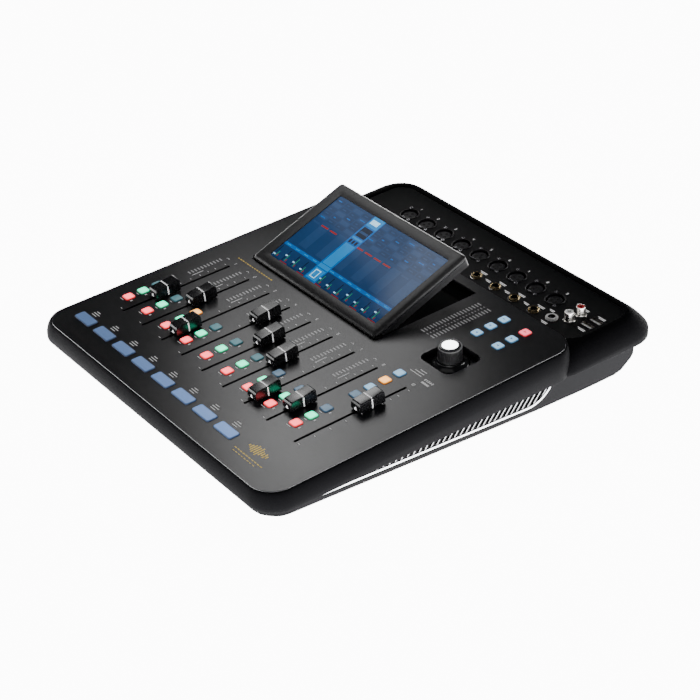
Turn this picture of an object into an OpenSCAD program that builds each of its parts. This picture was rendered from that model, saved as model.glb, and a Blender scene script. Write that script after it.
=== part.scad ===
// Digital mixing console: sloping control deck with a fold-down screen, motor faders, keys and a rear socket bay.
// The deck frame has its origin at the first soft key, +X right, +Y to the rear and +Z out of the deck.

/* [Console body] */
// half of the cover's width
cover_half_w = 175.5; // [175:0.5:177]
// front edge of the cover in the deck frame
cover_front = -32; // [-33:0.5:-31.5]
// rear edge of the cover in the deck frame
cover_rear = 386; // [384:1:390]
// slope of the deck
deck_slope = 5; // [4.8:0.1:5.2]
// height of the deck frame's origin over the floor
deck_height = 29; // [28.5:0.5:32]
// height of the rubber feet
foot_h = 4; // [3:0.5:4]

/* [Channel strips] */
// distance between channel strips
strip_pitch = 31; // [31:0.25:31.5]
// travel of a fader, which sets its slot's length
fader_travel = 100; // [90:5:100]
// front to back length of a fader's cap
cap_len = 27; // [24:1:28]
// width of a fader's cap
cap_w = 12.5; // [11:0.5:13]
// height of a fader's cap
cap_h = 14; // [12:0.5:15]
// side of a square key
key_side = 9.5; // [9:0.1:10]
// how far a key stands out of the deck
key_proud = 1; // [0.9:0.1:1.5]

/* [Screen] */
// width of the visible panel
lcd_w = 154.2; // [150:0.2:155]
// height of the visible panel
lcd_h = 87.3; // [84:0.1:88]
// tilt of the screen from the deck
screen_tilt = 19.8; // [10:0.2:24]
// thickness of the screen's housing
pod_t = 12; // [11:0.5:12]

/* [Encoder] */
// largest radius of the encoder's knob
knob_r = 16.5; // [14:0.5:17]
// height of the encoder's knob
knob_h = 20.5; // [18:0.5:24]

/* [Hidden] */
$fn = 48;
center_x = 140;
strips = 8;
keys_per_strip = 3;
wall = 2.5;
gap = 0.3;
cover_r = 30;
cover_w = 2 * cover_half_w;
cover_len = cover_rear - cover_front;
cover_z = -40;
lip_slope = -1.75;
lip_z = -16.9;
skirt_z = -6;
skirt_edge_z = -21;
skirt_half_w = 165;
skirt_rear = 372;

deck_half_w = 169.5;
deck_front = -26.5;
deck_rear = 290.5;
deck_r = 23;
deck_t = 2;
ledge = 9;

soft_w = 24;
soft_len = 11;
key_dx = -6.7;
key_y = 47.6;
key_step = 15.15;
key_depth = 7;
key_web_z = -3.6;
key_web_t = 1.4;
key_travel_room = 1.6;
master_dx = 245.3;
master_y = 107.2;
mix_keys = 4;
nav_x = [241.5, 268.3];
nav_y = 239.2;
nav_rows = 3;

slot_dx = 9.65;
slot_x = [for (i = [0 : strips]) i < strips ? i * strip_pitch + slot_dx : 264.5];
slot_y = 88;
slot_len = fader_travel + 13;
slot_w = 2.6;
// where each fader's cap stands along its slot
cap_y = [75.4, 93.4, 56.6, 118.5, 100.6, 92, 52.1, 65.1, 105.2];
cap_z = 1;
stem_w = 1.2;
stem_len = 8;
stem_depth = 11.5;
track_w = 9;
track_h = 10;
track_len = slot_len + 14;
track_z = -12;

pod_left = 14;
pod_side = 9.5;
pod_top = 12.5;
pod_front = 3.5;
lcd_v = 7;
pod_x = 27.4 - pod_left;
pod_w = lcd_w + pod_left + pod_side;
pod_v = lcd_v + lcd_h + pod_top + pod_front;
pod_face = 6.6;
bezel_t = 5;
bezel_chamfer = 2;
glass_t = 1.8;
hinge_y = 172.4;
hinge_z = -0.9;
pin_r = 1.6;
pin_clear = 0.06;
lug_x = 1.1;
lug_w = 6.4;
lug_rise = 2.2;

well_gap = 1.6;
well_x = pod_x - well_gap;
well_w = pod_w + 2 * well_gap;
well_front = 167;
well_rear = 280;
well_wall = 1.5;
well_depth = 10;

enc_x = 255;
enc_y = 198.6;
enc_w = 39;
enc_corner_r = 7;
cup_wall = 1.5;
enc_depth = 8;
enc_gap = 0.5;
enc_cap_r = 6.75;
shaft_r = 3;
shaft_len = 6;

bay_x = -16;
bay_w = 312;
bay_front = 294;
bay_rear = 366;
bay_r = 16;
bay_z = -8;
plate_t = 1.6;
xlr_count = 9;
xlr_x = 34.5;
xlr_pitch = 25.28;
xlr_y = 332.7;
xlr_r = 8.5;
xlr_core_r = 6.9;
xlr_wall = 0.7;
xlr_depth = 18;
screw_dx = 7.7;
screw_dy = 8.2;
screw_r = 1.7;
jack_xy = [[161.5, 307], [186.8, 307], [212, 307], [237.3, 307], [256.8, 310]];
jack_r = 5.6;
jack_bore_r = 3.3;
jack_depth = 24;
rca_xy = [[269, 319], [269.5, 332]];
rca_r = 4.15;
rca_len = 9;
usb_xy = [[285.5, 324.7], [286, 334.5]];
usb_w = 13.2;
usb_h = 5.9;
usb_wall = 0.35;
usb_depth = 13;

base_half_w = 171.5;
base_front = -27;
base_rear = 379;
base_r = 28;
base_wall = 2.5;
base_top = 90;
// side outline of the base in the part's own frame: run and height over the feet
heel_y = 36;
heel_z = 22;
vents = 36;
vent_pitch = 6.1;
vent_y = 33;
vent_w = 2.4;
vent_slant = 36;
vent_z = 10.8;
trim_h = 1.6;
trim_t = 0.7;
trim_z = 7;
trim_front = 8;
trim_rear = 236;
trim_r = 31;
trim_rise = 16;

inlet_x = 250;
inlet_z = 20;
inlet_w = 31;
inlet_h = 23;
inlet_depth = 20;
rocker_x = 215;
rocker_w = 13.4;
rocker_h = 19.4;
rocker_r = 9.1;
rocker_in = 4;
rocker_tilt = 8;
scoop_r = 16;
scoop = 2.6;
lan_x = 170;
lan_w = 16;
lan_h = 14;
pocket_x = 155;
pocket_w = 122;
pocket_depth = 26;
pocket_z0 = 7.5;
pocket_z1 = 33;
post_r = 3;
post_xy = [[-5, 14], [262, -4], [110, -6], [125, 152]];

mid_y = (cover_front + cover_rear) / 2;
origin_y = -mid_y * cos(deck_slope);
pocket_y = origin_y + base_rear * cos(deck_slope) - pocket_depth;

col_black = [0.02, 0.021, 0.023];
col_deck = [0.045, 0.046, 0.05];
col_steel = [0.6, 0.6, 0.62];
col_base = [0.09, 0.09, 0.095];
col_soft = [0.30, 0.40, 0.58];
col_mint = [0.25, 0.80, 0.62];
col_pale = [0.55, 0.75, 0.85];

// name of the node to draw, or "all"

// ---- frames and shared shapes ----

// places what is drawn in the deck frame
module on_deck() {
    translate([-center_x, origin_y, deck_height]) rotate([deck_slope, 0, 0]) children();
}

// a rectangle with round corners, its low corner at the origin
module round_rect(w, h, r) {
    translate([r, 0]) square([w - 2 * r, h]);
    translate([0, r]) square([w, h - 2 * r]);
    for (x = [r, w - r], y = [r, h - r])
        translate([x, y]) circle(r);
}

// a round-cornered slab from z0 up to z1
module slab(x, y, w, h, r, z0, z1) {
    translate([x, y, z0]) linear_extrude(z1 - z0) round_rect(w, h, r);
}

// extrudes a side view, drawn with y to the right and z up, across the width from x0 to x1
module across(x0, x1) {
    translate([x0, 0, 0]) rotate([90, 0, 90]) linear_extrude(x1 - x0) children();
}

// extrudes a front view, drawn with x to the right and z up, from y0 back to y1
module along(y0, y1) {
    translate([0, y1, 0]) rotate([90, 0, 0]) linear_extrude(y1 - y0) children();
}

// a cylinder along X
module rod_x(x0, x1, r) {
    translate([x0, 0, 0]) rotate([0, 90, 0]) cylinder(r = r, h = x1 - x0);
}

// ---- housing ----

// the deck's raised block, shrunk by s all round
module cover_block(s) {
    half = cover_half_w - s;
    intersection() {
        slab(center_x - half, cover_front + s, 2 * half, deck_rear + 1 - cover_front - 2 * s, deck_r + 3 - s,
            cover_z, 0);
        along(cover_front, deck_rear + 2) translate([center_x, -s]) polygon([
            [-half, cover_z], [half, cover_z], [half, -12], [half - 1, -7], [half - 3.2, -2.4],
            [half - 5, -0.4], [-half + 5, -0.4], [-half + 3.2, -2.4], [-half + 1, -7], [-half, -12]]);
        across(center_x - cover_half_w, center_x + cover_half_w) translate([0, -s]) polygon([
            [cover_front + s, cover_z], [deck_rear + 2, cover_z], [deck_rear + 2, -0.4],
            [cover_front + s + 5, -0.4], [cover_front + s + 3, -2], [cover_front + s + 1, -6],
            [cover_front + s, -11]]);
    }
}

// the low skirt that carries the connector bay, shrunk by s all round
module cover_skirt(s) {
    half = cover_half_w - s;
    rear = cover_rear - s;
    intersection() {
        slab(center_x - half, cover_front + s, 2 * half, cover_len - 2 * s, cover_r - s, cover_z, 0);
        along(cover_front, cover_rear) translate([center_x, -s]) polygon([
            [-half, cover_z], [half, cover_z], [half, skirt_edge_z], [half - 3.5, skirt_edge_z + 7],
            [skirt_half_w, skirt_z - 1.5], [skirt_half_w - 6, skirt_z], [6 - skirt_half_w, skirt_z],
            [-skirt_half_w, skirt_z - 1.5], [3.5 - half, skirt_edge_z + 7], [-half, skirt_edge_z]]);
        across(center_x - cover_half_w, center_x + cover_half_w) translate([0, -s]) polygon([
            [cover_front + s, cover_z], [rear, cover_z], [rear, skirt_edge_z], [skirt_rear + 3, skirt_z - 2],
            [skirt_rear - 1, skirt_z], [cover_front + s, skirt_z]]);
    }
}

// everything under the cover's lower edge
module below_lip() {
    translate([0, 0, lip_z]) rotate([lip_slope, 0, 0])
        translate([-cover_half_w, -2 * cover_half_w, cover_z * 2])
            cube([2 * cover_w, 2 * cover_len, -cover_z * 2]);
}

module top_cover() {
    color(col_black) on_deck() difference() {
        union() {
            cover_block(0);
            cover_skirt(0);
        }
        difference() {
            union() {
                cover_block(wall);
                cover_skirt(wall);
            }
            slab(bay_x - wall, bay_front - wall, bay_w + 2 * wall, bay_rear - bay_front + 2 * wall, bay_r + wall,
                bay_z - plate_t - wall, 0);
        }
        slab(center_x - deck_half_w, deck_front, 2 * deck_half_w, deck_rear - deck_front, deck_r, -deck_t, 1);
        slab(center_x - deck_half_w + ledge, deck_front + ledge, 2 * (deck_half_w - ledge),
            deck_rear - deck_front - 2 * ledge, deck_r - ledge, cover_z, 1);
        slab(bay_x, bay_front, bay_w, bay_rear - bay_front, bay_r, bay_z - plate_t, 1);
        slab(bay_x + wall, bay_front + wall, bay_w - 2 * wall, bay_rear - bay_front - 2 * wall, bay_r - wall,
            cover_z, 1);
        below_lip();
    }
}

// a square hole for a key of size w by h about [x, y]
module key_hole(x, y, w, h, r) {
    translate([x - w / 2 - gap, y - h / 2 - gap]) round_rect(w + 2 * gap, h + 2 * gap, r + gap);
}

module deck_outline() {
    difference() {
        translate([center_x - deck_half_w, deck_front])
            round_rect(2 * deck_half_w, deck_rear - deck_front, deck_r);
        for (i = [0 : strips - 1])
            key_hole(i * strip_pitch, 0, soft_w, soft_len, 1.4);
        for (i = [0 : strips], k = [0 : keys_per_strip - 1])
            key_hole(strip_key_x(i), key_y + k * key_step, key_side, key_side, 2);
        for (k = [0 : mix_keys - 1])
            key_hole(master_dx, master_y + k * key_step, key_side, key_side, 2);
        for (x = nav_x, k = [0 : nav_rows - 1])
            key_hole(x, nav_y + k * key_step, key_side, key_side, 2);
        for (x = slot_x)
            translate([x - slot_w / 2, slot_y - slot_len / 2]) round_rect(slot_w, slot_len, slot_w / 2 - 0.05);
        translate([well_x, well_front]) square([well_w, well_rear - well_front]);
        translate([enc_x - enc_w / 2, enc_y - enc_w / 2]) round_rect(enc_w, enc_w, enc_corner_r);
    }
}

module deck_plate() {
    color(col_deck) on_deck() {
        translate([0, 0, -deck_t]) linear_extrude(deck_t) deck_outline();
        difference() {
            slab(enc_x - enc_w / 2 - cup_wall, enc_y - enc_w / 2 - cup_wall, enc_w + 2 * cup_wall,
                enc_w + 2 * cup_wall, enc_corner_r + cup_wall, -enc_depth - cup_wall, -deck_t);
            slab(enc_x - enc_w / 2, enc_y - enc_w / 2, enc_w, enc_w, enc_corner_r, -enc_depth, 0);
            translate([enc_x, enc_y, -2 * enc_depth]) cylinder(r = shaft_r + pin_clear, h = 2 * enc_depth);
        }
    }
}

module screen_well() {
    color(col_black) on_deck() difference() {
        translate([well_x - lug_x * 2, well_front - well_wall, -well_depth - well_wall])
            cube([well_w + lug_x * 4, well_rear - well_front + 2 * well_wall, well_depth + well_wall - deck_t]);
        translate([well_x, well_front, -well_depth])
            cube([well_w, well_rear - well_front, 2 * well_depth]);
    }
    color(col_black) on_deck() screen_lugs();
}

// the two lugs that carry the screen's hinge pins, standing in the well's front corners
module screen_lugs() {
    for (side = [0, 1])
        translate([side * (pod_x + pod_w + gap) + (1 - side) * well_x, hinge_y, 0]) difference() {
            translate([0, -lug_w / 2, -well_depth]) cube([well_gap - gap, lug_w, well_depth + lug_rise]);
            translate([0, 0, hinge_z]) rod_x(-1, well_gap + 1, pin_r + pin_clear);
        }
}

module connector_plate() {
    color(col_black) on_deck() translate([0, 0, bay_z - plate_t]) linear_extrude(plate_t) difference() {
        translate([bay_x, bay_front]) round_rect(bay_w, bay_rear - bay_front, bay_r);
        for (i = [0 : xlr_count - 1])
            translate([xlr_x + i * xlr_pitch, xlr_y]) circle(xlr_r + xlr_wall);
        for (p = jack_xy)
            translate(p) circle(jack_r - 1);
        for (p = rca_xy)
            translate(p) circle(rca_r - 0.6);
        for (p = usb_xy)
            translate([p[0] - usb_w / 2, p[1] - usb_h / 2]) square([usb_w, usb_h]);
    }
}

// ---- connectors ----

module xlr_sockets() {
    color(col_black) on_deck() for (i = [0 : xlr_count - 1])
        translate([xlr_x + i * xlr_pitch, xlr_y, bay_z]) {
            difference() {
                union() {
                    translate([0, 0, -xlr_depth]) cylinder(r = xlr_r + xlr_wall, h = xlr_depth);
                    cylinder(r = xlr_r + 0.9, h = 0.8);
                }
                translate([0, 0, 1.2 - xlr_depth]) cylinder(r = xlr_r, h = xlr_depth);
            }
            translate([0, 0, -xlr_depth]) cylinder(r = xlr_core_r, h = xlr_depth - 0.6);
        }
}

module line_jacks() {
    color(col_steel) on_deck() for (p = jack_xy)
        translate([p[0], p[1], bay_z]) difference() {
            union() {
                translate([0, 0, -jack_depth]) cylinder(r = jack_r - 1, h = jack_depth);
                cylinder(r = jack_r, h = 1.8);
            }
            translate([0, 0, 2 - jack_depth]) cylinder(r = jack_bore_r, h = jack_depth);
        }
}

module rca_sockets() {
    color(col_steel) on_deck() for (p = rca_xy)
        translate([p[0], p[1], bay_z]) {
            cylinder(r = rca_r, h = rca_len);
            cylinder(r = rca_r + 1.4, h = 1);
            translate([0, 0, -6]) cylinder(r = rca_r - 0.6, h = 6);
        }
}

module usb_ports() {
    color(col_steel) on_deck() for (p = usb_xy)
        translate([p[0] - usb_w / 2, p[1] - usb_h / 2, bay_z - usb_depth]) difference() {
            cube([usb_w, usb_h, usb_depth + 0.6]);
            translate([usb_wall, usb_wall, 1]) cube([usb_w - 2 * usb_wall, usb_h - 2 * usb_wall, usb_depth + 1]);
        }
}

// a pan head screw standing on the plane below it
module pan_screw() {
    difference() {
        cylinder(r = screw_r, h = 1);
        translate([-0.25, -1.2, 0.5]) cube([0.5, 2.4, 1]);
        translate([-1.2, -0.25, 0.5]) cube([2.4, 0.5, 1]);
    }
}

module panel_screws() {
    color(col_steel) {
        on_deck() for (i = [0 : xlr_count - 1], s = [-1, 1])
            translate([xlr_x + i * xlr_pitch - s * screw_dx, xlr_y + s * screw_dy, bay_z]) pan_screw();
        for (x = [-120, 120], y = [-150, 0, 130])
            translate([x, y, foot_h]) mirror([0, 0, 1]) pan_screw();
    }
}

// ---- base ----

function base_y(y) = origin_y + y * cos(deck_slope);

// the base's outside, shrunk by s all round
module base_body(s) {
    half = base_half_w - s;
    y0 = base_y(base_front) + s;
    y1 = base_y(base_rear) - s;
    bottom = foot_h + s;
    intersection() {
        translate([0, 0, bottom]) linear_extrude(base_top) union() {
            translate([-half, y0]) round_rect(2 * half, y1 - y0 - 110, base_r - s);
            intersection() {
                translate([-half, y0]) round_rect(2 * half, y1 - y0, base_r + 6 - s);
                polygon([[-half, y0 + 60], [half, y0 + 60], [half, y1 - 150], [half - 4, y1 - 60],
                    [half - 8, y1], [8 - half, y1], [4 - half, y1 - 60], [-half, y1 - 150]]);
            }
        }
        across(-base_half_w, base_half_w) polygon([
            [y0, base_top], [y0, bottom + 4], [y0 + 1, bottom + 1.2], [y0 + 3.5, bottom],
            [y1 - heel_y, bottom], [y1 - heel_y * 0.75, bottom + 1.8], [y1 - heel_y * 0.45, bottom + heel_z * 0.42],
            [y1 - heel_y / 6, bottom + heel_z], [y1, bottom + heel_z + 12], [y1, base_top]]);
        along(-mid_y * 2, cover_rear) polygon([
            [-half, base_top], [-half, bottom + 3], [-half + 0.8, bottom + 0.9], [-half + 3, bottom],
            [half - 3, bottom], [half - 0.8, bottom + 0.9], [half, bottom + 3], [half, base_top]]);
    }
}

// what is above the line where the base meets the inside of the cover
module above_base() {
    on_deck() translate([0, 0, lip_z + 3]) rotate([lip_slope, 0, 0])
        translate([-cover_half_w, -cover_w, 0]) cube([2 * cover_w, 2 * cover_len, -2 * cover_z]);
}

// slanted cooling slots through both side walls, under the cover and over the trim
module vent_slots() {
    for (i = [0 : vents - 1])
        translate([-2 * base_half_w, base_y(vent_y + i * vent_pitch), foot_h + vent_z])
            rotate([-vent_slant, 0, 0]) cube([4 * base_half_w, vent_w, max(4, i * 0.52 + 2)]);
}

// the recess at the back that holds the power and network sockets, grown by s all round
module pocket(s) {
    translate([pocket_x - center_x - s, pocket_y - s, pocket_z0 - s])
        cube([pocket_w + 2 * s, pocket_depth * 2, pocket_z1 - pocket_z0 + 2 * s]);
}

// a hole through the pocket's wall, w wide and h high about x
module pocket_hole(x, w, h) {
    translate([x - center_x, pocket_y, inlet_z]) cube([w, 3 * base_wall, h], center = true);
}

// posts from the base's floor up to the circuit board
module board_posts() {
    for (p = post_xy)
        translate([p[0] - center_x, base_y(p[1]), foot_h + base_wall / 2])
            cylinder(r = post_r, h = deck_height + p[1] * sin(deck_slope) + (track_z - 2.3) * cos(deck_slope)
                - foot_h - base_wall / 2);
}

module base_tray() {
    color(col_base) {
        difference() {
            union() {
                difference() {
                    base_body(0);
                    base_body(base_wall);
                }
                intersection() {
                    base_body(0);
                    pocket(base_wall);
                }
            }
            above_base();
            vent_slots();
            pocket(0);
            pocket_hole(inlet_x, inlet_w - 3, inlet_h - 3);
            pocket_hole(rocker_x, rocker_w, rocker_h);
            pocket_hole(lan_x, lan_w, lan_h);
        }
        board_posts();
    }
}

// side view of a trim strip: a straight run that curves up at its rear end
module trim_outline() {
    y0 = base_y(trim_front);
    y1 = base_y(trim_rear);
    translate([y0, 0]) square([y1 - y0 + 0.3, trim_h]);
    translate([y1, trim_r]) intersection() {
        difference() {
            circle(trim_r);
            circle(trim_r - trim_h);
        }
        translate([0, -trim_r]) square([trim_r, trim_rise]);
    }
}

module side_trims() {
    color(col_steel) for (side = [0, 1])
        mirror([side, 0, 0]) across(base_half_w, base_half_w + trim_t)
            translate([0, foot_h + trim_z]) trim_outline();
}

module rubber_feet() {
    color(col_black) for (x = [-138, 138], y = [-165, 125])
        translate([x, y, 0]) {
            cylinder(r = 9, h = foot_h);
            cylinder(r = 10, h = foot_h / 2);
        }
}

// ---- inside ----

module fader_tracks() {
    color(col_steel) on_deck() for (x = slot_x)
        translate([x - track_w / 2, slot_y - track_len / 2, track_z]) difference() {
            cube([track_w, track_len, track_h]);
            translate([(track_w - slot_w) / 2, (track_len - slot_len) / 2, 1]) cube([slot_w, slot_len, track_h]);
        }
}

// a push switch under a key at [x, y]
module tact(x, y) {
    translate([x - 3, y - 3, track_z - 1]) cube([6, 6, -track_z + 1 - key_depth - key_travel_room]);
}

module main_board() {
    color([0.05, 0.25, 0.12]) on_deck() {
        translate([-12, -12, track_z - 2]) cube([292, 170, 2]);
        for (i = [0 : strips - 1])
            tact(i * strip_pitch, 0);
        for (i = [0 : strips])
            tact(strip_key_x(i), key_y + key_step);
        for (k = [0 : mix_keys - 1])
            tact(master_dx, master_y + k * key_step);
    }
}

module power_supply() {
    color(col_steel) translate([-70, 20, foot_h + base_wall]) cube([110, 75, 17]);
}

module power_inlet() {
    color(col_black) translate([inlet_x - center_x, pocket_y, inlet_z]) rotate([90, 0, 0]) difference() {
        union() {
            translate([-inlet_w / 2 + 1.5, -inlet_h / 2 + 1.5, -0.01])
                cube([inlet_w - 3, inlet_h - 3, inlet_depth]);
            translate([-inlet_w / 2, -inlet_h / 2, -1.6]) cube([inlet_w, inlet_h, 1.6]);
        }
        translate([-inlet_w / 2 + 3, -inlet_h / 2 + 3, -2]) cube([inlet_w - 6, inlet_h - 6, inlet_depth]);
    }
}

module network_port() {
    color(col_steel) translate([lan_x - center_x, pocket_y, inlet_z]) rotate([90, 0, 0]) difference() {
        translate([-lan_w / 2, -lan_h / 2, 0]) cube([lan_w, lan_h, 20]);
        translate([-lan_w / 2 + 2, -lan_h / 2 + 3, -1]) cube([lan_w - 4, 8, 15]);
    }
}

module meter_bar(x, y, w, h) {
    translate([x, y, 0]) cube([w, h, 0.12]);
}

module meter_lights() {
    color([0.5, 0.5, 0.52]) on_deck() {
        for (i = [0 : strips - 1], k = [0 : 10])
            meter_bar(i * strip_pitch - 6.6, 110 + k * 3.4, 3, 1);
        for (x = [206, 216.5], k = [0 : 19])
            meter_bar(x, 207 + k * 3.3, 4.6, 0.9);
    }
}

// ---- screen ----

// places what is drawn in the screen's own frame: u right, v up the panel and w out of its face, from the hinge
module on_screen() {
    on_deck() translate([pod_x, hinge_y, hinge_z]) rotate([screen_tilt, 0, 0]) children();
}

module screen_bezel() {
    c = bezel_chamfer;
    color(col_base) on_screen() difference() {
        intersection() {
            slab(0, -pod_front, pod_w, pod_v, 3, pod_face - bezel_t, pod_face);
            along(-2 * pod_front, pod_v) polygon([[0, pod_face - bezel_t], [pod_w, pod_face - bezel_t],
                [pod_w, pod_face - c], [pod_w - c, pod_face], [c, pod_face], [0, pod_face - c]]);
            across(0, pod_w) polygon([[-pod_front, pod_face - bezel_t], [pod_v - pod_front, pod_face - bezel_t],
                [pod_v - pod_front, pod_face - c], [pod_v - pod_front - c, pod_face],
                [c - pod_front, pod_face], [-pod_front, pod_face - c]]);
        }
        translate([pod_left, lcd_v, -2 * bezel_t]) cube([lcd_w, lcd_h, 4 * bezel_t]);
    }
}

module screen_glass() {
    color([0.02, 0.10, 0.28]) on_screen()
        translate([pod_left, lcd_v, pod_face - 1 - glass_t]) cube([lcd_w, lcd_h, glass_t]);
}

module screen_back() {
    depth = pod_t - bezel_t;
    color(col_black) on_screen() {
        difference() {
            translate([0, 0, pod_face - pod_t]) linear_extrude(depth) translate([0, -pod_front])
                round_rect(pod_w, pod_v, 3);
            translate([pod_left, lcd_v, pod_face - pod_t + 2]) cube([lcd_w, lcd_h, depth]);
        }
        for (x = [[gap - well_gap, 1], [pod_w - 1, pod_w + well_gap - gap]])
            rod_x(x[0], x[1], pin_r);
    }
}

// ---- encoder ----

module encoder_knob() {
    color(col_black) on_deck() translate([enc_x, enc_y, enc_gap - enc_depth]) difference() {
        union() {
            rotate_extrude() polygon([[0, 0], [knob_r, 0], [knob_r, 1.6], [knob_r - 1.4, 3], [knob_r - 4.6, 4.4],
                [knob_r - 5.8, 7], [knob_r - 6.2, knob_h - 1.4], [knob_r - 7.2, knob_h], [0, knob_h]]);
            translate([0, 0, -enc_gap - shaft_len]) cylinder(r = shaft_r, h = shaft_len + enc_gap);
        }
        translate([0, 0, knob_h - 1]) cylinder(r = enc_cap_r, h = 2);
    }
}

module encoder_cap() {
    color([0.9, 0.9, 0.9]) on_deck() translate([enc_x, enc_y, enc_gap - enc_depth + knob_h - 1])
        cylinder(r = enc_cap_r, h = 1.2);
}

module power_rocker() {
    half = rocker_w / 2 - gap;
    color(col_black) translate([rocker_x - center_x, pocket_y - rocker_in, inlet_z]) rotate([rocker_tilt, 0, 0])
        difference() {
            rod_x(-half, half, rocker_r);
            translate([0, rocker_r + scoop_r - scoop, 0]) rod_x(-rocker_w, rocker_w, scoop_r);
        }
}

// ---- faders and keys ----

function strip_key_x(i) = i < strips ? i * strip_pitch + key_dx : master_dx;

module cap_side() {
    half = cap_len / 2;
    polygon([[-half, 0], [half, 0], [half, 2.5], [half - 2.2, cap_h - 1.5], [half - 3.4, cap_h],
        [half - 6, cap_h - 0.6], [2.5, cap_h - 4.6], [-2.5, cap_h - 4.6], [6 - half, cap_h - 0.6],
        [3.4 - half, cap_h], [2.2 - half, cap_h - 1.5], [-half, 2.5]]);
}

module fader(i) {
    color(col_black) on_deck() translate([slot_x[i], cap_y[i], cap_z]) {
        intersection() {
            across(-cap_w / 2, cap_w / 2) cap_side();
            along(-cap_len, cap_len) polygon([[-cap_w / 2, 0], [cap_w / 2, 0], [cap_w / 2, 3],
                [cap_w / 2 - 1.2, cap_h], [1.2 - cap_w / 2, cap_h], [-cap_w / 2, 3]]);
        }
        translate([-stem_w / 2, -stem_len / 2, -stem_depth]) cube([stem_w, stem_len, stem_depth + 4]);
    }
}

module key(x, y, w, h, r) {
    slab(x - w / 2, y - h / 2, w, h, r, -key_depth, key_proud);
}

module soft_key(i) {
    color(col_soft) on_deck() {
        key(i * strip_pitch, 0, soft_w, soft_len, 1.4);
        translate([i * strip_pitch - soft_w / 2 - 1, -soft_len / 2 - 1, key_web_z])
            cube([soft_w + 2, soft_len + 2, key_web_t]);
    }
}

module strip_keys(i) {
    color(col_mint) on_deck() {
        for (k = [0 : keys_per_strip - 1])
            key(strip_key_x(i), key_y + k * key_step, key_side, key_side, 2);
        translate([strip_key_x(i) - key_side / 2 - 1, key_y - key_side / 2 - 1, key_web_z])
            cube([key_side + 2, (keys_per_strip - 1) * key_step + key_side + 2, key_web_t]);
    }
}

module small_key(x, y) {
    color(col_pale) on_deck() {
        key(x, y, key_side, key_side, 2);
        translate([x - key_side / 2 - 1, y - key_side / 2 - 1, key_web_z])
            cube([key_side + 2, key_side + 2, key_web_t]);
    }
}

module mix_key(k) {
    small_key(master_dx, master_y + k * key_step);
}

module nav_key(k) {
    small_key(nav_x[k < nav_rows ? 0 : 1], nav_y + (k % nav_rows) * key_step);
}

base_tray();
side_trims();
rubber_feet();
top_cover();
deck_plate();
screen_well();
connector_plate();
xlr_sockets();
line_jacks();
rca_sockets();
usb_ports();
panel_screws();
fader_tracks();
main_board();
power_supply();
power_inlet();
network_port();
meter_lights();
screen_bezel();
screen_glass();
screen_back();
encoder_knob();
encoder_cap();
power_rocker();
fader(0);  // fader_1
fader(1);  // fader_2
fader(2);  // fader_3
fader(3);  // fader_4
fader(4);  // fader_5
fader(5);  // fader_6
fader(6);  // fader_7
fader(7);  // fader_8
fader(8);  // fader_master
soft_key(0);  // soft_key_1
soft_key(1);  // soft_key_2
soft_key(2);  // soft_key_3
soft_key(3);  // soft_key_4
soft_key(4);  // soft_key_5
soft_key(5);  // soft_key_6
soft_key(6);  // soft_key_7
soft_key(7);  // soft_key_8
strip_keys(0);  // strip_keys_1
strip_keys(1);  // strip_keys_2
strip_keys(2);  // strip_keys_3
strip_keys(3);  // strip_keys_4
strip_keys(4);  // strip_keys_5
strip_keys(5);  // strip_keys_6
strip_keys(6);  // strip_keys_7
strip_keys(7);  // strip_keys_8
strip_keys(8);  // strip_keys_9
mix_key(0);  // mix_key_1
mix_key(1);  // mix_key_2
mix_key(2);  // mix_key_3
mix_key(3);  // mix_key_4
nav_key(0);  // nav_key_1
nav_key(1);  // nav_key_2
nav_key(2);  // nav_key_3
nav_key(3);  // nav_key_4
nav_key(4);  // nav_key_5
nav_key(5);  // nav_key_6
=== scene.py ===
"""Looks for the mixing console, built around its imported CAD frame.

Lengths in the helpers are millimetres in the deck frame unless said otherwise: its origin is the middle of
the first soft key on the deck's surface, +X right, +Y to the rear, +Z out of the deck.
"""
from math import cos, pi, radians, sin

import bpy
from mathutils import Matrix, Vector


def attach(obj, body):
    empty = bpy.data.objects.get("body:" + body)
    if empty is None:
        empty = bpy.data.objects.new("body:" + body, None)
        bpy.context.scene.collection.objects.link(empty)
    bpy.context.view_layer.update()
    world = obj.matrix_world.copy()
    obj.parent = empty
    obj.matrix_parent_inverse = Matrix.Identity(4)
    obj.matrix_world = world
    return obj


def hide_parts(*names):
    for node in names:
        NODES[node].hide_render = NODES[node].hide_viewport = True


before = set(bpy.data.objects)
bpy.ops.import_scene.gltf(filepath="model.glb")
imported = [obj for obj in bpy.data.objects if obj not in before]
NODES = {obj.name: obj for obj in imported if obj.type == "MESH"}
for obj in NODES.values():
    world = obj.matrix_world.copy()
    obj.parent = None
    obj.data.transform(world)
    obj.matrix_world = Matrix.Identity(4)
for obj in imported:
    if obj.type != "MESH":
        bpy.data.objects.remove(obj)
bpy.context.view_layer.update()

# ---- the part's own frames ----
MM = 0.001
SLOPE = radians(5)
MID_X = 140
ORIGIN_Y = -177 * cos(SLOPE)
ORIGIN_Z = 29
PART = Matrix.Scale(MM, 4)
DECK = PART @ Matrix.Translation((-MID_X, ORIGIN_Y, ORIGIN_Z)) @ Matrix.Rotation(SLOPE, 4, "X")

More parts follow.
